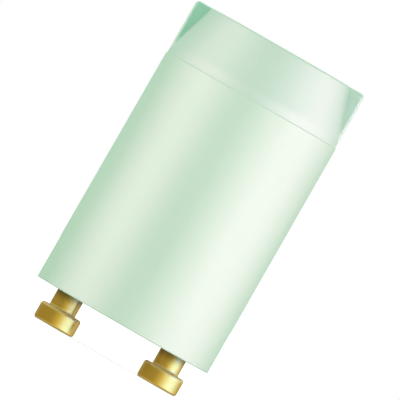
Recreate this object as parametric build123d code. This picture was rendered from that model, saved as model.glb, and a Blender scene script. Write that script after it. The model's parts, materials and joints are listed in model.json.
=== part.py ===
"""Fluorescent lamp starter: a moulded can that snaps over a base plate with two contact pins,
with the glow switch and its suppression capacitor wired across the pins inside.

Millimetres. The origin is midway between the pin tips, on the surface that the tips stand on.
+Z runs up the can to its closed end, and +X runs along the line of the two pins.
"""

from build123d import *

import os
from math import radians, tan

# Contact pins
PIN_PITCH = 12.7
PIN_HEAD_D = 4.8
PIN_HEAD_H = 2.0
PIN_HEAD_ROUND = 0.3
PIN_NECK_D = 3.1
PIN_NECK_H = 1.9
PIN_STEM_D = 2.3
PIN_FLANGE_D = 3.6
PIN_FLANGE_H = 0.5
PIN_TAIL_D = 1.9
PIN_TAIL_FOOT_H = 0.5
PIN_TAIL_LIP = 0.2

# Can
CAN_D = 21.0
CAN_H = 34.2
CAN_WALL = 1.05
CAN_DRAFT = 0.1
CAN_END_WALL = 1.2
CAN_END_BEVEL = 0.4
RIM_BREAK = 0.1
RIM_LEAD_IN = 0.15

# Grip at the closed end: a tapered nose between two wings
NOSE_H = 6.45
NOSE_STEP = 0.1
NOSE_STEP_BREAK = 0.08
NOSE_COLLAR_H = 0.65
NOSE_TAPER = 17.2
NOSE_BLEND = 4.0
NOSE_EDGE = 0.25
WING_T = 2.2
WING_CORNER = 0.45
WING_EDGE = 0.3
GATE_DIMPLE_D = 3.2
GATE_DIMPLE_DEPTH = 0.25
GATE_STUB_D = 1.0
GATE_STUB_H = 0.15

# Base plate and its snap fit in the can
PLATE_T = 2.2
PLATE_RECESS = 0.4
PLATE_GAP = 0.05
PLATE_EDGE = 0.25
PLATE_DISH_D = 3.6
PLATE_DISH_DEPTH = 0.3
LEDGE_W = 0.25
SNAP_COUNT = 4
SNAP_ARC = 36.0
SNAP_H = 0.8
SNAP_REACH = 0.3
SNAP_ROOT = 0.5
SNAP_GAP = 0.06
SNAP_END_GAP = 0.5
BOSS_D = 4.2
BOSS_H = 1.0
SKIRT_W = 0.8
SKIRT_H = 1.0
SKIRT_GAP = 0.3

# Lead wires
WIRE_D = 0.6
WIRE_BEND = 1.0
WIRE_END = 0.7
LEAD_IN_Y = 2.4
SLOT_GAP = 0.02

# Glow switch: a sealed glass tube with a bimetal strip and a fixed electrode
BULB_D = 8.4
BULB_WALL = 0.6
BULB_SHOULDER_H = 2.2
BULB_HEADROOM = 4.1
BULB_TIP_D = 1.9
BULB_TIP_END_D = 0.6
BULB_TIP_H = 1.4
PINCH_W = 6.2
PINCH_T = 2.6
PINCH_H = 4.0
PINCH_LIFT = 2.4
POST_PITCH = 3.2
POST_D = 0.7
POST_FLAT = 0.12
POST_FLAT_MARGIN = 0.3
POST_ABOVE_TONGUE = 0.7
STRIP_T = 0.2
STRIP_W = 2.0
STRIP_BEND = 0.5
STRIP_FOOT_LIFT = 1.2
STRIP_HEADROOM = 3.8
STRIP_WELD_H = 2.0
CONTACT_GAP = 0.7

# Capacitor
CAPACITOR_W = 9.0
CAPACITOR_T = 3.8
CAPACITOR_H = 9.5
CAPACITOR_ROUND = 1.1
CAPACITOR_PITCH = 6.4
CAPACITOR_LIFT = 3.0
COATING_LEG_D = 1.5
COATING_LEG_END_D = 0.9
COATING_LEG_H = 1.0
LEAD_IN_COATING = 1.5

# The bulb and the capacitor stand side by side across the can, this far apart
INSIDE_GAP = 1.2

# Heights of the stack, from the pin tips up
RIM_Z = PIN_HEAD_H + PIN_NECK_H
TOP_Z = RIM_Z + CAN_H
SEAM_Z = TOP_Z - NOSE_H
COLLAR_Z = SEAM_Z + NOSE_COLLAR_H
ROOF_Z = TOP_Z - CAN_END_WALL
PLATE_Z = RIM_Z + PLATE_RECESS
PLATE_TOP_Z = PLATE_Z + PLATE_T
SNAP_Z = PLATE_Z + PLATE_T / 2
BOSS_TOP_Z = PLATE_TOP_Z + BOSS_H
FLANGE_TOP_Z = BOSS_TOP_Z + PIN_FLANGE_H
SLOT_Z = FLANGE_TOP_Z + PIN_TAIL_FOOT_H
BULB_WIRE_Z = SLOT_Z + WIRE_D / 2
CAPACITOR_WIRE_Z = BULB_WIRE_Z + WIRE_D + SLOT_GAP
TAIL_TOP_Z = CAPACITOR_WIRE_Z + WIRE_D / 2 + PIN_TAIL_LIP
PINCH_Z = BULB_WIRE_Z + PINCH_LIFT
PINCH_TOP_Z = PINCH_Z + PINCH_H
BULB_Z = PINCH_TOP_Z + BULB_SHOULDER_H
BULB_TOP_Z = ROOF_Z - BULB_HEADROOM - BULB_TIP_H
STRIP_FOOT_Z = BULB_Z + STRIP_FOOT_LIFT
STRIP_TOP_Z = BULB_TOP_Z - BULB_WALL - STRIP_HEADROOM
CAPACITOR_Z = CAPACITOR_WIRE_Z + CAPACITOR_LIFT

# Radii of the can, which narrows with its draft from the rim up
RIM_R = CAN_D / 2
BORE_R = RIM_R - CAN_WALL
DRAFT_IN = (SEAM_Z - RIM_Z) * tan(radians(CAN_DRAFT))
SEAM_R = RIM_R - DRAFT_IN
NOSE_R = SEAM_R - NOSE_STEP
TAPER_IN = (TOP_Z - COLLAR_Z) * tan(radians(NOSE_TAPER))
NOSE_TOP_R = NOSE_R - TAPER_IN
SEAT_R = BORE_R + LEDGE_W
PLATE_R = SEAT_R - PLATE_GAP
SKIRT_R = BORE_R - SKIRT_GAP

# Places across the can, and in the bulb from its own axis
PIN_X = PIN_PITCH / 2
GROUP_T = BULB_D + INSIDE_GAP + CAPACITOR_T
BULB_Y = (BULB_D - GROUP_T) / 2
CAPACITOR_Y = (GROUP_T - CAPACITOR_T) / 2
POST_X = POST_PITCH / 2
FLAT_X = -POST_X + POST_D / 2 - POST_FLAT
TONGUE_X = POST_X - POST_D / 2 - CONTACT_GAP

SIDES = {"left": -1, "right": 1}


def profile(*points, rounds=(), bevels=()):
    """A closed outline in the XZ plane through (radius, height) points, with some corners
    rounded or bevelled."""
    outline = Plane.XZ * make_face(Polyline(*points, close=True))
    for finish, corners in ((fillet, rounds), (chamfer, bevels)):
        for point, size in corners:
            corner = Plane.XZ.from_local_coords(point)
            outline = finish(outline.vertices().sort_by_distance(corner)[0], size)
    return outline


def turned(outline):
    """The solid that an outline sweeps when it turns once about the can's axis."""
    return revolve(outline, Axis.Z)


def disc(diameter, low_z, high_z):
    """A round block between two heights, on the can's axis."""
    return Pos(0, 0, (low_z + high_z) / 2) * Cylinder(diameter / 2, high_z - low_z)


def wire(points):
    """A round wire bent along the given corners."""
    path = FilletPolyline(*points, radius=WIRE_BEND)
    return sweep((path ^ 0) * Circle(WIRE_D / 2), path=path)


# Can


def can_outside():
    """The drafted body with the tapered nose on it, as one turned solid."""
    return turned(
        profile(
            (0, RIM_Z),
            (RIM_R, RIM_Z),
            (SEAM_R, SEAM_Z),
            (NOSE_R, SEAM_Z),
            (NOSE_R, COLLAR_Z),
            (NOSE_TOP_R, TOP_Z),
            (0, TOP_Z),
            rounds=[((NOSE_R, COLLAR_Z), NOSE_BLEND), ((NOSE_TOP_R, TOP_Z), NOSE_EDGE)],
            bevels=[((RIM_R, RIM_Z), RIM_BREAK), ((SEAM_R, SEAM_Z), NOSE_STEP_BREAK)],
        )
    )


def wing_plate():
    """One upright plate through the nose, whose two ends stand out of it as the wings."""
    foot_z = SEAM_Z - CAN_END_WALL
    height = TOP_Z - foot_z
    outline = Plane.XZ * Pos(0, foot_z + height / 2) * Rectangle(2 * NOSE_R, height)
    outline = fillet(outline.vertices().group_by(Axis.Z)[-1], WING_CORNER)
    plate = extrude(outline, WING_T / 2, both=True)
    sides = plate.faces().filter_by(Axis.Y).edges()
    return fillet(sides - sides.group_by(Axis.Z)[0], WING_EDGE)


def can_cavity():
    """The space in the can: the mouth, the seat for the plate, a ledge that stops it, and the bore."""
    bore_top_r = BORE_R - DRAFT_IN
    roof_r = bore_top_r - TAPER_IN
    return turned(
        profile(
            (0, RIM_Z),
            (SEAT_R + RIM_LEAD_IN, RIM_Z),
            (SEAT_R, RIM_Z + RIM_LEAD_IN),
            (SEAT_R, PLATE_TOP_Z),
            (BORE_R, PLATE_TOP_Z),
            (bore_top_r, COLLAR_Z - CAN_END_WALL),
            (roof_r, ROOF_Z),
            (0, ROOF_Z),
            bevels=[((roof_r, ROOF_Z), CAN_END_BEVEL)],
        )
    )


def snap_bands(gap, end_gap):
    """Wedges spaced round the plate's edge, clear of the pins' line: its lugs, or with gaps
    around them the pockets that the lugs spring into."""
    half_h = SNAP_H / 2 + gap
    reach_r = PLATE_R + SNAP_REACH + gap
    root_r = PLATE_R - SNAP_ROOT
    arc = SNAP_ARC + 2 * end_gap
    wedge = profile(
        (root_r, SNAP_Z - half_h),
        (PLATE_R, SNAP_Z - half_h),
        (reach_r, SNAP_Z - half_h / 2),
        (PLATE_R, SNAP_Z + half_h),
        (root_r, SNAP_Z + half_h),
    )
    band = Rot(0, 0, -arc / 2) * revolve(wedge, Axis.Z, arc)
    pitch = 360 / SNAP_COUNT
    return [Rot(0, 0, (number + 0.5) * pitch) * band for number in range(SNAP_COUNT)]


def gate_mark():
    """The shallow dimple in the middle of the closed end, round the stub of the mould's gate."""
    floor_z = TOP_Z - GATE_DIMPLE_DEPTH
    dimple = disc(GATE_DIMPLE_D, floor_z, TOP_Z)
    return dimple - disc(GATE_STUB_D, floor_z, floor_z + GATE_STUB_H)


def make_can():
    """The can is one moulding. The ends of its snap pockets stop the plate from turning in it."""
    can = can_outside() + wing_plate()
    return can - can_cavity() - snap_bands(SNAP_GAP, SNAP_END_GAP) - gate_mark()


# Base plate


def make_base_plate():
    """The plate that closes the can, with lugs on its edge, a stiffening skirt and two pin bosses."""
    plate = disc(2 * PLATE_R, PLATE_Z, PLATE_TOP_Z)
    plate = chamfer(plate.edges().group_by(Axis.Z)[0], PLATE_EDGE)
    plate += snap_bands(0, 0)
    skirt_top_z = PLATE_TOP_Z + SKIRT_H
    skirt = disc(2 * SKIRT_R, PLATE_TOP_Z, skirt_top_z)
    plate += skirt - disc(2 * (SKIRT_R - SKIRT_W), PLATE_TOP_Z, skirt_top_z)
    plate -= disc(PLATE_DISH_D, PLATE_Z, PLATE_Z + PLATE_DISH_DEPTH)
    at_pins = Locations((-PIN_X, 0), (PIN_X, 0))
    plate += at_pins * disc(BOSS_D, PLATE_TOP_Z, BOSS_TOP_Z)
    return plate - at_pins * disc(PIN_STEM_D, PLATE_Z, BOSS_TOP_Z)


# Contact pins


def make_pin(side):
    """A turned pin: the head and neck outside, the stem through the plate, the riveted flange
    on the boss, and the slotted tail that is squeezed onto the two lead wires."""
    pin = turned(
        profile(
            (0, 0),
            (PIN_HEAD_D / 2, 0),
            (PIN_HEAD_D / 2, PIN_HEAD_H),
            (PIN_NECK_D / 2, PIN_HEAD_H),
            (PIN_NECK_D / 2, PLATE_Z),
            (PIN_STEM_D / 2, PLATE_Z),
            (PIN_STEM_D / 2, BOSS_TOP_Z),
            (PIN_FLANGE_D / 2, BOSS_TOP_Z),
            (PIN_FLANGE_D / 2, FLANGE_TOP_Z),
            (PIN_TAIL_D / 2, FLANGE_TOP_Z),
            (PIN_TAIL_D / 2, TAIL_TOP_Z),
            (0, TAIL_TOP_Z),
            rounds=[
                ((PIN_HEAD_D / 2, 0), PIN_HEAD_ROUND),
                ((PIN_HEAD_D / 2, PIN_HEAD_H), PIN_HEAD_ROUND),
            ],
            bevels=[((PIN_FLANGE_D / 2, FLANGE_TOP_Z), PIN_FLANGE_H / 2)],
        )
    )
    slot_h = TAIL_TOP_Z - SLOT_Z
    slot = Box(WIRE_D + 2 * SLOT_GAP, PIN_FLANGE_D, slot_h)
    pin -= Pos(0, 0, SLOT_Z + slot_h / 2) * slot
    return Pos(side * PIN_X, 0, 0) * pin


# Glow switch


def at_bulb(shape):
    """Moves a piece of the glow switch from the can's axis to the bulb's own axis."""
    return Pos(0, BULB_Y, 0) * shape


def post(x, top_z):
    """A round post up from the foot of the pinch."""
    return Pos(x, 0, 0) * disc(POST_D, PINCH_Z, top_z)


def tube_form(margin):
    """The glass from the top of its pinch to its dome, solid, and smaller all round by the margin."""
    radius = BULB_D / 2 - margin
    dome_z = BULB_TOP_Z - BULB_D / 2
    tube = disc(2 * radius, BULB_Z, dome_z) + Pos(0, 0, dome_z) * Sphere(radius)
    pinched = SlotOverall(PINCH_W - 2 * margin, PINCH_T - 2 * margin)
    return tube + loft([Pos(0, 0, PINCH_TOP_Z + margin) * pinched, Pos(0, 0, BULB_Z) * Circle(radius)])


def make_bulb_glass():
    """A blown tube pressed flat on the posts at one end, and drawn off to a sealed tip at the other."""
    glass = tube_form(0)
    glass += extrude(Pos(0, 0, PINCH_Z) * SlotOverall(PINCH_W, PINCH_T), PINCH_H)
    tip = Cone(BULB_TIP_D / 2, BULB_TIP_END_D / 2, BULB_TIP_H + BULB_WALL)
    glass += Pos(0, 0, BULB_TOP_Z + (BULB_TIP_H - BULB_WALL) / 2) * tip
    glass -= tube_form(BULB_WALL)
    for side in SIDES.values():
        glass -= post(side * POST_X, PINCH_TOP_Z + BULB_WALL)
    return at_bulb(glass)


def make_strip_post():
    """The short post, with a flat filed on it where the bimetal strip is welded."""
    flat_z = STRIP_FOOT_Z - POST_FLAT_MARGIN
    flat_h = STRIP_TOP_Z - flat_z
    flat = Pos(FLAT_X + POST_D / 2, 0, flat_z + flat_h / 2) * Box(POST_D, POST_D, flat_h)
    return at_bulb(post(-POST_X, STRIP_FOOT_Z + STRIP_WELD_H) - flat)


def make_fixed_electrode():
    """The tall post that the strip's tongue touches when the strip is hot."""
    return at_bulb(post(POST_X, STRIP_TOP_Z + POST_ABOVE_TONGUE))


def make_bimetal_strip():
    """A bimetal strip with its top turned over into a contact tongue."""
    strip_x = FLAT_X + STRIP_T / 2
    tongue_z = STRIP_TOP_Z - STRIP_T / 2
    centreline = FilletPolyline(
        (strip_x, 0, STRIP_FOOT_Z), (strip_x, 0, tongue_z), (TONGUE_X, 0, tongue_z), radius=STRIP_BEND
    )
    section = Plane(centreline @ 0, x_dir=(0, 1, 0), z_dir=(0, 0, 1)) * Rectangle(STRIP_W, STRIP_T)
    return at_bulb(sweep(section, path=centreline))


def make_bulb_lead(side):
    """From the foot of a post down, out beside the pin, and along into the pin's slot."""
    return wire(
        [
            (side * POST_X, BULB_Y, PINCH_Z),
            (side * POST_X, BULB_Y, BULB_WIRE_Z),
            (side * PIN_X, -LEAD_IN_Y, BULB_WIRE_Z),
            (side * PIN_X, WIRE_END, BULB_WIRE_Z),
        ]
    )


# Capacitor


def make_capacitor_body():
    """The capacitor's dipped coating: a rounded block that runs down a little way over its leads."""
    block = Pos(0, 0, CAPACITOR_Z + CAPACITOR_H / 2) * Box(CAPACITOR_W, CAPACITOR_T, CAPACITOR_H)
    block = fillet(block.edges(), CAPACITOR_ROUND)
    leg_h = COATING_LEG_H + CAPACITOR_ROUND
    leg_z = CAPACITOR_Z - COATING_LEG_H
    at_leads = Locations((-CAPACITOR_PITCH / 2, 0), (CAPACITOR_PITCH / 2, 0))
    leg = Cone(COATING_LEG_END_D / 2, COATING_LEG_D / 2, leg_h)
    block += at_leads * (Pos(0, 0, leg_z + leg_h / 2) * leg)
    block -= at_leads * disc(WIRE_D, leg_z, CAPACITOR_Z + LEAD_IN_COATING)
    return Pos(0, CAPACITOR_Y, 0) * block


def make_capacitor_lead(side):
    """From inside the coating down, out beside the pin, and along into its slot over the bulb's lead."""
    lead_x = side * CAPACITOR_PITCH / 2
    return wire(
        [
            (lead_x, CAPACITOR_Y, CAPACITOR_Z + LEAD_IN_COATING),
            (lead_x, CAPACITOR_Y, CAPACITOR_WIRE_Z),
            (side * PIN_X, LEAD_IN_Y, CAPACITOR_WIRE_Z),
            (side * PIN_X, -WIRE_END, CAPACITOR_WIRE_Z),
        ]
    )


pieces = {
    "can": make_can(),
    "base_plate": make_base_plate(),
    "bulb_glass": make_bulb_glass(),
    "strip_post": make_strip_post(),
    "fixed_electrode": make_fixed_electrode(),
    "bimetal_strip": make_bimetal_strip(),
    "capacitor_body": make_capacitor_body(),
}
for name, side in SIDES.items():
    pieces[f"contact_pin_{name}"] = make_pin(side)
    pieces[f"bulb_lead_{name}"] = make_bulb_lead(side)
    pieces[f"capacitor_lead_{name}"] = make_capacitor_lead(side)

os.makedirs("parts", exist_ok=True)
for node, piece in pieces.items():
    export_step(piece, f"parts/{node}.step")
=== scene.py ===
"""Finish, light and camera for the fluorescent starter."""

import json
import math

import bpy
from mathutils import Matrix, Vector


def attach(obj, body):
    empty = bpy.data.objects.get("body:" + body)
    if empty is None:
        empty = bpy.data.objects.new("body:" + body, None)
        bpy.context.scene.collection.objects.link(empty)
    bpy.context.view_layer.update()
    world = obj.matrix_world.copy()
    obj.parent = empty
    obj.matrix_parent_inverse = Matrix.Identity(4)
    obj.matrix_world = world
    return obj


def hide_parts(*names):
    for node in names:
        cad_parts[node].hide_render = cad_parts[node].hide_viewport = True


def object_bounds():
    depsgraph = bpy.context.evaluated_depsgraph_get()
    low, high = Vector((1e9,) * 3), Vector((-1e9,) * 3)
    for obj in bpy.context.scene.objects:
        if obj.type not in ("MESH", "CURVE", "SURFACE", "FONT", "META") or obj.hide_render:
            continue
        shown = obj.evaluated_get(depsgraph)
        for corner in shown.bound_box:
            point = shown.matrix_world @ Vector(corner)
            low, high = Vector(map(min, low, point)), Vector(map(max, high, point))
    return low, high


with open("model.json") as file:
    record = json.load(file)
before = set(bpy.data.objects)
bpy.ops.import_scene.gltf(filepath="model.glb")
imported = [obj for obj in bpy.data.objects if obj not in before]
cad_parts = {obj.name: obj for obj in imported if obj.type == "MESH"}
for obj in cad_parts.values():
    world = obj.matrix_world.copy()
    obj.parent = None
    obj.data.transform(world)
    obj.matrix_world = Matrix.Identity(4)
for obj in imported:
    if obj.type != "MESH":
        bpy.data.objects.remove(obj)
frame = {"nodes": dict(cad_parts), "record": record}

cad_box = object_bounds()

MM = 0.001

# Sizes of the moulding that its finish follows, in mm, and the taper of its nose in degrees
RIM_Z = 3.9
SEAM_Z = 31.65
COLLAR_Z = 32.3
TOP_Z = 38.1
NOSE_R = 10.35
NOSE_TAPER = 17.2
DIMPLE_R = 1.6

# Contact pins, in mm: a head, a neck, a stem through the plate, a riveted flange and a slotted tail
PIN_PITCH = 12.7
PIN_X = PIN_PITCH / 2
HEAD_R = 2.4
HEAD_TOP_Z = 2.0
HEAD_ROUND = 0.3
NECK_R = 1.55
NECK_ROUND = 0.12
PLATE_Z = 4.3
STEM_R = 1.15
BOSS_TOP_Z = 7.5
FLANGE_R = 1.8
FLANGE_TOP_Z = 8.0
FLANGE_ROUND = 0.25
TAIL_R = 0.95
TAIL_TOP_Z = 9.92
SLOT_W = 0.64
SLOT_Z = 8.5
SLOT_REACH = 3

# Half the section of a pin: the radius and height of each corner, and the radius that rounds it
PIN_SECTION = (
    (0, 0, 0),
    (HEAD_R, 0, HEAD_ROUND),
    (HEAD_R, HEAD_TOP_Z, HEAD_ROUND),
    (NECK_R, HEAD_TOP_Z, NECK_ROUND),
    (NECK_R, PLATE_Z, 0),
    (STEM_R, PLATE_Z, 0),
    (STEM_R, BOSS_TOP_Z, 0),
    (FLANGE_R, BOSS_TOP_Z, 0),
    (FLANGE_R, FLANGE_TOP_Z, FLANGE_ROUND),
    (TAIL_R, FLANGE_TOP_Z, 0),
    (TAIL_R, TAIL_TOP_Z, 0),
    (0, TAIL_TOP_Z, 0),
)

# How finely the pins are made: steps of a rounded corner, points round a turn with the last on the first,
# the gap in mm that is closed, and the fold in radians from which an edge stays sharp
ROUND_STEPS = 8
TURN_POINTS = 97
CLOSED_GAP = 0.001
SHARP_FOLD = 0.5

# The photo: its side in pixels, its scale, the object's lean to the right in degrees, and where the
# middle of the rim lies. The lens is long, because the photo shows next to no perspective.
PHOTO_PX = 400
PX_PER_MM = 9.339
LEAN = 29.85
RIM_MIDDLE_PX = (122.3, 324.8)
LENS_MM = 1500
SENSOR_MM = 36

# Gloss of the can, as a share of the light, on its walls and on its closed end
GLOSS = 0.04
END_GLOSS = 0.01

# Soft boxes that show only in gloss. Each has an azimuth from the camera to the right and a half width, in
# degrees, and a level, where 1 is a plain white. The rest of the room is one level.
PLASTIC_BOXES = (
    (-64, 66, (8.0, 4.2, 6.0)),
    (74, 98, (11.4, 6.4, 9.4)),
)
PLASTIC_ROOM = (0.2, 0.2, 0.2)
BRASS_BOXES = (
    (62, 100, (1.3, 1.3, 0.7)),
    (66, 62, (0.0, 1.1, 7.5)),
)
BRASS_ROOM = (0.57, 0.52, 0.34)

# The rings that carry the boxes: radius in metres, number of sides, and reach down and up in degrees
PLASTIC_RING_R = 0.25
BRASS_RING_R = 0.24
RING_SIDES = 72
RING_BOTTOM = -34
RING_TOP = 34

# Floor: half its side in metres, the gap in mm under the object, its grey, how much it glows where it is
# seen straight or through glass, and how much more to the camera
FLOOR_REACH = 1.5
FLOOR_GAP = 0.02
FLOOR_GREY = 0.8
FLOOR_GLOW = 0.35
CAMERA_GLOW = 0.25

# Node trees


class Value:
    """A socket in a node tree. Arithmetic on it adds Math nodes."""

    def __init__(self, nodes, socket):
        self.nodes = nodes
        self.socket = socket

    def math(self, operation, *values):
        return self.nodes.add("ShaderNodeMath", {"operation": operation}, dict(enumerate(values)))

    def __add__(self, other):
        return self.math("ADD", self, other)

    __radd__ = __add__

    def __sub__(self, other):
        return self.math("SUBTRACT", self, other)

    def __rsub__(self, other):
        return self.math("SUBTRACT", other, self)

    def __mul__(self, other):
        return self.math("MULTIPLY", self, other)

    __rmul__ = __mul__

    def __truediv__(self, other):
        return self.math("DIVIDE", self, other)

    def __abs__(self):
        return self.math("ABSOLUTE", self)

    def root(self):
        return self.math("SQRT", self)

    def down(self):
        return self.math("FLOOR", self)

    def sine(self):
        return self.math("SINE", self)

    def cosine(self):
        return self.math("COSINE", self)

    def at_most(self, other):
        return self.math("MINIMUM", self, other)

    def at_least(self, other):
        return self.math("MAXIMUM", self, other)

    def step(self, low, high):
        """Runs smoothly from 0 at low to 1 at high."""
        return self.nodes.add(
            "ShaderNodeMapRange",
            {"interpolation_type": "SMOOTHSTEP"},
            {"Value": self, "From Min": low, "From Max": high},
        )


class Nodes:
    """A node tree being written."""

    def __init__(self, tree):
        self.tree = tree

    def add(self, kind, settings=None, inputs=None, output=0):
        """Adds one node with its settings, then its sockets' values or links, and gives one output."""
        node = self.tree.nodes.new(kind)
        for name, value in (settings or {}).items():
            setattr(node, name, value)
        for key, value in (inputs or {}).items():
            self.feed(self.find(node.inputs, key), value)
        return Value(self, self.find(node.outputs, output))

    def find(self, sockets, key):
        """A socket by its number, or by its identifier or name."""
        if isinstance(key, int):
            return sockets[key]
        return next(socket for socket in sockets if key in (socket.identifier, socket.name))

    def feed(self, socket, value):
        """Links a value to a socket, or writes a constant on it."""
        if isinstance(value, Value):
            self.tree.links.new(value.socket, socket)
        elif socket.type == "RGBA" and len(value) == 3:
            socket.default_value = (*value, 1)
        else:
            socket.default_value = value

    def vector(self, x=0.0, y=0.0, z=0.0):
        return self.add("ShaderNodeCombineXYZ", inputs={"X": x, "Y": y, "Z": z})


class Shader(Nodes):
    """The nodes of a material or the world."""

    def __init__(self, owner, output):
        owner.use_nodes = True
        super().__init__(owner.node_tree)
        self.owner = owner
        self.tree.nodes.clear()
        self.output = self.tree.nodes.new(output)

    def finish(self, surface):
        self.feed(self.output.inputs["Surface"], surface)
        return self.owner

    def coordinates(self):
        """The place on the object in mm, as a vector and as its three parts."""
        place = self.add("ShaderNodeTexCoord", output="Object")
        place = self.add("ShaderNodeVectorMath", {"operation": "SCALE"}, {"Vector": place, "Scale": 1 / MM})
        parts = [self.add("ShaderNodeSeparateXYZ", inputs={"Vector": place}, output=axis) for axis in "XYZ"]
        return place, *parts

    def noise(self, place, scale, detail=2.0, stretch=(1, 1, 1)):
        """Cloudy variation from 0 to 1, with so many patches in a mm."""
        place = self.add("ShaderNodeMapping", inputs={"Vector": place, "Scale": stretch})
        return self.add("ShaderNodeTexNoise", inputs={"Vector": place, "Scale": scale, "Detail": detail})

    def mix(self, factor, low, high):
        """One colour running into another."""
        inputs = {"Factor_Float": factor, "A_Color": low, "B_Color": high}
        return self.add("ShaderNodeMix", {"data_type": "RGBA"}, inputs, "Result_Color")

    def blend(self, factor, low, high):
        """One surface running into another."""
        return self.add("ShaderNodeMixShader", inputs={0: factor, 1: low, 2: high})

    def both(self, first, second):
        """The light of two surfaces together."""
        return self.add("ShaderNodeAddShader", inputs={0: first, 1: second})

    def bump(self, height, depth_mm):
        """Dents and ridges of a real depth."""
        return self.add("ShaderNodeBump", inputs={"Height": height, "Distance": depth_mm * MM})

    def principled(self, **inputs):
        """A surface whose sockets are named with _ for a space."""
        inputs = {name.replace("_", " "): value for name, value in inputs.items()}
        return self.add("ShaderNodeBsdfPrincipled", inputs=inputs)

    def ray_is(self, *kinds):
        """1 for a ray of any of these kinds."""
        rays = [self.add("ShaderNodeLightPath", output=f"Is {kind} Ray") for kind in kinds]
        return sum(rays[1:], rays[0]).at_most(1)


def material(name):
    """The nodes of a new material."""
    return Shader(bpy.data.materials.new(name), "ShaderNodeOutputMaterial")


def linear(*srgb):
    """A colour read off a screen, 0 to 255, as the light that it gives off."""
    return tuple(((value / 255 + 0.055) / 1.055) ** 2.4 for value in srgb)


# Finishes


def can_plastic():
    """Mint plastic with an even share of gloss over a matt colour, and little gloss on the closed end.

    The flat sides of the wings are deeper, as the plastic has little thickness there and light sinks into
    it, and as painted shade of their recess.
    """
    shader = material("can_plastic_finish")
    place, x, y, z = shader.coordinates()
    radius = (x * x + y * y).root()
    normal = shader.add("ShaderNodeTexCoord", output="Normal")
    sideways = abs(shader.add("ShaderNodeSeparateXYZ", inputs={"Vector": normal}, output="Y"))

    cone = NOSE_R - (z - COLLAR_Z).at_least(0) * math.tan(math.radians(NOSE_TAPER))
    outside_cone = (radius - cone).step(-0.02, 0.12)
    above_foot = z.step(SEAM_Z, SEAM_Z + 0.3)
    flat_side = sideways.step(0.6, 0.95)
    wings = outside_cone * above_foot * flat_side

    above_seam = z.step(SEAM_Z - 0.02, SEAM_Z + 0.02)
    flow = shader.noise(place, scale=0.16, detail=3.0, stretch=(1, 1, 0.35))
    body = shader.mix(flow.step(0.3, 0.7), linear(188, 225, 195), linear(191, 228, 198))
    thick = shader.mix(above_seam, body, linear(187, 222, 196))
    # Painted shade on the wings: darker than the body, and darker on the left wing than on the right, beside
    # the deeper colour of the plate
    thin_and_shaded = shader.mix(x.step(-NOSE_R, NOSE_R), linear(124, 200, 160), linear(170, 215, 188))
    colour = shader.mix(wings, thick, thin_and_shaded)

    grain = shader.noise(place, scale=7.0)
    relief = shader.bump(grain, depth_mm=0.004)
    roughness = 0.33 + 0.06 * grain + 0.06 * above_seam
    plain = shader.principled(Base_Color=colour, Roughness=0.7, Specular_IOR_Level=0.0, Normal=relief)
    gloss = shader.principled(Base_Color=(1, 1, 1), Metallic=1.0, Roughness=roughness, Normal=relief)

    top = z.step(TOP_Z - 0.25, TOP_Z - 0.05)
    dimple = radius.step(DIMPLE_R + 1.0, DIMPLE_R + 0.7)
    share = GLOSS - (GLOSS - END_GLOSS) * top.at_least(dimple)
    return shader.finish(shader.blend(share, plain, gloss))


def plate_plastic():
    """Matt off-white plastic with the fine grain of its mould."""
    shader = material("plate_plastic_finish")
    place, *_ = shader.coordinates()
    grain = shader.noise(place, scale=9.0, detail=3.0)
    patches = shader.noise(place, scale=0.3, detail=3.0)
    return shader.finish(
        shader.principled(
            Base_Color=shader.mix(patches, linear(232, 231, 222), linear(224, 224, 214)),
            Roughness=0.5 + 0.12 * grain,
            Normal=shader.bump(grain, depth_mm=0.012),
        )
    )


def pin_brass():
    """Turned brass, with a painted highlight on the head's shoulder, and painted shade round its tip and
    under the plate.
    """
    shader = material("pin_brass_finish")
    place, x, y, z = shader.coordinates()
    across = abs(x) - PIN_X
    radius = (across * across + y * y).root()
    rings = shader.noise(shader.vector(x=radius, z=z), scale=9.0, detail=3.0)
    stains = shader.noise(place, scale=0.9, detail=4.0)

    # Painted shade on the neck just under the plate, where the can's rim shades it
    shade = z.step(HEAD_TOP_Z + 0.7, RIM_Z + 0.1) - z.step(RIM_Z + 0.2, RIM_Z + 0.6)
    # Painted shade: a dark band round the foot of each head, in place of the reflected contact shadow of the
    # floor
    tip_edge_shade = z.step(HEAD_ROUND / 2, 0.03) * radius.step(HEAD_R - 0.5, HEAD_R - 0.2)
    # Painted highlight: the head's shoulder is paler and less metallic, so that it shows as a light top edge
    shoulder = z.step(HEAD_TOP_Z - 0.4, HEAD_TOP_Z - 0.2) - z.step(HEAD_TOP_Z + 0.1, HEAD_TOP_Z + 0.3)
    clean = shader.mix(stains, linear(204, 174, 82), linear(196, 163, 68))
    painted_shoulder_highlight = shader.mix(shoulder, clean, linear(230, 207, 126))
    return shader.finish(
        shader.principled(
            Base_Color=shader.mix(shade + tip_edge_shade, painted_shoulder_highlight, linear(122, 106, 56)),
            Metallic=1 - 0.9 * shoulder,
            Roughness=0.27 + 0.08 * rings + 0.08 * stains.step(0.55, 0.8),
            Normal=shader.bump(rings, depth_mm=0.004),
        )
    )


def bulb_glass():
    """Clear soft glass with a faint grey tint."""
    shader = material("bulb_glass_finish")
    place, *_ = shader.coordinates()
    ripple = shader.noise(place, scale=0.5, detail=1.0, stretch=(1, 1, 0.3))
    return shader.finish(
        shader.principled(
            Base_Color=shader.mix(ripple, linear(236, 245, 240), linear(228, 240, 234)),
            Roughness=0.02 + 0.03 * ripple,
            IOR=1.5,
            Transmission_Weight=0.95,
            Normal=shader.bump(ripple, depth_mm=0.02),
        )
    )


def wire_metal(name, light, dark, roughness):
    """Drawn wire, a little stained."""
    shader = material(name + "_finish")
    place, *_ = shader.coordinates()
    stains = shader.noise(place, scale=4.0, detail=3.0)
    return shader.finish(
        shader.principled(
            Base_Color=shader.mix(stains, light, dark),
            Metallic=1.0,
            Roughness=roughness + 0.12 * stains,
            Normal=shader.bump(stains, depth_mm=0.003),
        )
    )


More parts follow.
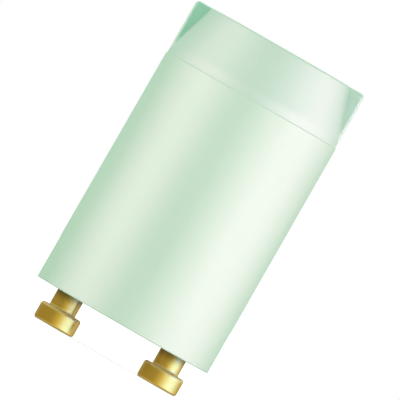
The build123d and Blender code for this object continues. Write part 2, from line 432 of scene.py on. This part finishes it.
def capacitor_coating():
    """Dipped resin, glossy and a little uneven."""
    shader = material("capacitor_coating_finish")
    place, *_ = shader.coordinates()
    waves = shader.noise(place, scale=0.45)
    specks = shader.noise(place, scale=3.0, detail=4.0).step(0.6, 0.75)
    resin = shader.mix(waves, linear(196, 108, 46), linear(182, 94, 38))
    return shader.finish(
        shader.principled(
            Base_Color=shader.mix(specks * 0.4, resin, linear(150, 74, 30)),
            Roughness=0.22 + 0.1 * waves,
            Normal=shader.bump(waves, depth_mm=0.15),
        )
    )


finishes = {
    "can_plastic": can_plastic(),
    "plate_plastic": plate_plastic(),
    "pin_brass": pin_brass(),
    "bulb_glass": bulb_glass(),
    "tinned_wire": wire_metal("tinned_wire", linear(208, 208, 204), linear(180, 181, 178), 0.28),
    "post_wire": wire_metal("post_wire", linear(188, 190, 192), linear(160, 160, 162), 0.34),
    "bimetal": wire_metal("bimetal", linear(196, 190, 178), linear(170, 160, 146), 0.38),
    "capacitor_coating": capacitor_coating(),
}
for subpart in frame["record"]["subparts"]:
    node = frame["nodes"][subpart["node"]]
    node.material_slots[0].material = finishes[subpart["material_slot"]]

# Contact pins


def mesh_object(name, points, faces, edges=()):
    """A new object in the scene, with a mesh of its own."""
    mesh = bpy.data.meshes.new(name)
    mesh.from_pydata(points, edges, faces)
    made = bpy.data.objects.new(name, mesh)
    bpy.context.scene.collection.objects.link(made)
    return made


def rounded(corners):
    """The points along a section whose corners are square and may be rounded."""
    points = [Vector(corners[0][:2])]
    for before, corner, after in zip(corners, corners[1:], corners[2:]):
        here = Vector(corner[:2])
        radius = corner[2]
        if not radius:
            points.append(here)
            continue
        coming = (here - Vector(before[:2])).normalized()
        going = (Vector(after[:2]) - here).normalized()
        centre = here + radius * (going - coming)
        for step in range(ROUND_STEPS + 1):
            angle = math.pi / 2 * step / ROUND_STEPS
            points.append(centre + radius * (coming * math.sin(angle) - going * math.cos(angle)))
    points.append(Vector(corners[-1][:2]))
    return points


def turning_tree():
    """Turns a section about Z, cuts a slot across the end, and sets a copy on each of two places."""
    nodes = Nodes(bpy.data.node_groups.new("turned_pins", "GeometryNodeTree"))
    sockets = {
        "Section": "NodeSocketGeometry",
        "Steps": "NodeSocketInt",
        "Pitch": "NodeSocketFloat",
        "Slot Width": "NodeSocketFloat",
        "Slot Bottom": "NodeSocketFloat",
        "Slot Reach": "NodeSocketFloat",
        "Finish": "NodeSocketMaterial",
    }
    for name, kind in sockets.items():
        nodes.tree.interface.new_socket(name, in_out="INPUT", socket_type=kind)
    nodes.tree.interface.new_socket("Pins", in_out="OUTPUT", socket_type="NodeSocketGeometry")
    section, steps, pitch, slot_width, slot_bottom, slot_reach, finish = (
        nodes.add("NodeGroupInput", output=name) for name in sockets
    )

    corners = nodes.add(
        "GeometryNodeAttributeDomainSize",
        inputs={"Geometry": section},
        output="Point Count",
    )
    sheet = nodes.add("GeometryNodeMeshGrid", inputs={"Vertices X": corners, "Vertices Y": steps})
    index = nodes.add("GeometryNodeInputIndex")
    corner = (index / steps).down()
    angle = (corner * steps - index) / (steps - 1) * (2 * math.pi)
    place = nodes.add(
        "GeometryNodeSampleIndex",
        {"data_type": "FLOAT_VECTOR"},
        {"Geometry": section, "Value": nodes.add("GeometryNodeInputPosition"), "Index": corner},
    )
    radius, height = (nodes.add("ShaderNodeSeparateXYZ", inputs={0: place}, output=axis) for axis in "XZ")
    position = nodes.vector(radius * angle.cosine(), radius * angle.sine(), height)
    turned = nodes.add("GeometryNodeSetPosition", inputs={"Geometry": sheet, "Position": position})
    turned = nodes.add(
        "GeometryNodeMergeByDistance",
        inputs={"Geometry": turned, "Distance": CLOSED_GAP * MM},
    )

    slot_size = nodes.vector(slot_width, slot_reach, slot_reach)
    slot = nodes.add("GeometryNodeMeshCube", inputs={"Size": slot_size})
    slot = nodes.add(
        "GeometryNodeTransform",
        inputs={"Geometry": slot, "Translation": nodes.vector(z=slot_bottom + slot_reach * 0.5)},
    )
    pin = nodes.add(
        "GeometryNodeMeshBoolean",
        {"operation": "DIFFERENCE", "solver": "EXACT"},
        {"Mesh 1": turned, "Mesh 2": slot},
    )

    places = nodes.add(
        "GeometryNodeMeshLine",
        inputs={"Count": 2, "Start Location": nodes.vector(x=pitch * -0.5), "Offset": nodes.vector(x=pitch)},
    )
    pins = nodes.add("GeometryNodeInstanceOnPoints", inputs={"Points": places, "Instance": pin})
    pins = nodes.add("GeometryNodeRealizeInstances", inputs={"Geometry": pins})
    pins = nodes.add("GeometryNodeSetShadeSmooth", inputs={"Geometry": pins, "Shade Smooth": True})
    fold = nodes.add("GeometryNodeInputMeshEdgeAngle", output="Unsigned Angle")
    sharp = fold.step(SHARP_FOLD, SHARP_FOLD + 0.01)
    pins = nodes.add(
        "GeometryNodeSetShadeSmooth",
        {"domain": "EDGE"},
        {"Geometry": pins, "Selection": sharp, "Shade Smooth": False},
    )
    pins = nodes.add("GeometryNodeSetMaterial", inputs={"Geometry": pins, "Material": finish})
    nodes.feed(nodes.tree.nodes.new("NodeGroupOutput").inputs["Pins"], pins)
    return nodes.tree


def baked(source, tree, inputs):
    """An object with the plain mesh that a tree makes of it."""
    modifier = source.modifiers.new("build", "NODES")
    modifier.node_group = tree
    for socket in tree.interface.items_tree:
        if socket.in_out == "INPUT" and socket.name in inputs:
            modifier[socket.identifier] = inputs[socket.name]
    bpy.context.view_layer.update()
    mesh = bpy.data.meshes.new_from_object(source.evaluated_get(bpy.context.evaluated_depsgraph_get()))
    source.modifiers.remove(modifier)
    source.data = mesh
    return source


def make_pins():
    """Both pins as one piece, in place of two CAD nodes, with a small round where neck and head meet."""
    points = [(MM * point.x, 0, MM * point.y) for point in rounded(PIN_SECTION)]
    section = mesh_object("contact_pins", points, [], [(i, i + 1) for i in range(len(points) - 1)])
    inputs = {
        "Steps": TURN_POINTS,
        "Pitch": PIN_PITCH * MM,
        "Slot Width": SLOT_W * MM,
        "Slot Bottom": SLOT_Z * MM,
        "Slot Reach": SLOT_REACH * MM,
        "Finish": finishes["pin_brass"],
    }
    pins = baked(section, turning_tree(), inputs)
    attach(pins, "starter")
    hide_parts("contact_pin_left", "contact_pin_right")
    return pins


contact_pins = make_pins()

# Stage

lowest, highest = cad_box
middle = (lowest + highest) / 2


def toward(azimuth, elevation):
    """A direction from the object: azimuth from the camera to the right, elevation upward."""
    a = math.radians(azimuth)
    e = math.radians(elevation)
    return Vector((math.sin(a) * math.cos(e), -math.cos(a) * math.cos(e), math.sin(e)))


def make_floor():
    """A white floor that keeps the object's shadow. From below, and in gloss, it is seen through."""
    quarters = ((-1, -1), (1, -1), (1, 1), (-1, 1))
    corners = [(FLOOR_REACH * x, FLOOR_REACH * y, -FLOOR_GAP * MM) for x, y in quarters]
    floor = mesh_object("floor", corners, [(0, 1, 2, 3)])
    shader = material("floor_paper")
    paper = shader.add("ShaderNodeBsdfDiffuse", inputs={"Color": (FLOOR_GREY, FLOOR_GREY, FLOOR_GREY)})
    seen = FLOOR_GLOW * shader.ray_is("Camera", "Transmission")
    photographed = CAMERA_GLOW * shader.ray_is("Camera")
    glow = shader.add("ShaderNodeEmission", inputs={"Strength": seen + photographed})
    below = shader.add("ShaderNodeNewGeometry", output="Backfacing")
    clear = shader.add("ShaderNodeBsdfTransparent")
    floor.data.materials.append(shader.finish(shader.blend(below, shader.both(paper, glow), clear)))
    floor.visible_glossy = False


def make_world():
    """A plain white sky, which lights the object evenly from all sides."""
    world = bpy.data.worlds.new("studio")
    bpy.context.scene.world = world
    shader = Shader(world, "ShaderNodeOutputWorld")
    shader.finish(shader.add("ShaderNodeBackground", inputs={"Color": (1, 1, 1), "Strength": 1.0}))


def light_ring(name, radius, boxes, room, only_pins):
    """A ring of soft boxes round the object that shows only in gloss, of the pins or of all the rest."""
    points = []
    faces = []
    for side in range(RING_SIDES):
        for elevation in (RING_BOTTOM, RING_TOP):
            points.append(middle + radius * toward(side * 360 / RING_SIDES, elevation))
        here = 2 * side
        following = 2 * ((side + 1) % RING_SIDES)
        faces.append((here, here + 1, following + 1, following))
    ring = mesh_object(name, points, faces)
    ring.visible_camera = False
    ring.visible_diffuse = False
    ring.visible_shadow = False

    shader = material(name)
    _, x, y, _ = shader.coordinates()
    turn = shader.add("ShaderNodeMath", {"operation": "ARCTAN2"}, {0: x, 1: -1 * y}) * math.degrees(1)
    light = shader.add("ShaderNodeEmission", inputs={"Color": room})
    for azimuth, half_width, level in boxes:
        fade = abs(turn - azimuth).step(half_width, 0)
        box = shader.add("ShaderNodeEmission", inputs={"Color": level, "Strength": fade})
        light = shader.both(light, box)
    if only_pins:
        light = shader.both(shader.add("ShaderNodeBsdfTransparent"), light)
    ring.data.materials.append(shader.finish(light))

    pins = bpy.data.collections.new(name + "_pins")
    pins.objects.link(contact_pins)
    ring.light_linking.receiver_collection = pins
    for member in pins.collection_objects:
        member.light_linking.link_state = "INCLUDE" if only_pins else "EXCLUDE"


def make_camera():
    """Level with the object and far off, rolled so that the object leans as in the photo."""
    lean = math.radians(LEAN)
    frame_middle = PHOTO_PX / 2
    right_mm = (frame_middle - RIM_MIDDLE_PX[0]) / PX_PER_MM
    up_mm = (RIM_MIDDLE_PX[1] - frame_middle) / PX_PER_MM
    aim_x = right_mm * math.cos(lean) - up_mm * math.sin(lean)
    aim_z = RIM_Z + right_mm * math.sin(lean) + up_mm * math.cos(lean)
    camera = bpy.data.objects.new("camera", bpy.data.cameras.new("camera"))
    camera.data.lens = LENS_MM
    camera.data.sensor_width = SENSOR_MM
    distance = PHOTO_PX / PX_PER_MM * LENS_MM / SENSOR_MM * MM
    right = Vector((math.cos(lean), 0, math.sin(lean)))
    up = Vector((-math.sin(lean), 0, math.cos(lean)))
    back = Vector((0, -1, 0))
    turned = Matrix((right, up, back)).transposed().to_4x4()
    camera.matrix_world = Matrix.Translation((aim_x * MM, -distance, aim_z * MM)) @ turned
    camera.data.clip_end = 2 * distance
    bpy.context.scene.collection.objects.link(camera)
    bpy.context.scene.camera = camera


make_floor()
make_world()
light_ring("plastic_light", PLASTIC_RING_R, PLASTIC_BOXES, PLASTIC_ROOM, only_pins=False)
light_ring("brass_light", BRASS_RING_R, BRASS_BOXES, BRASS_ROOM, only_pins=True)
make_camera()
bpy.context.scene.view_settings.view_transform = "Standard"
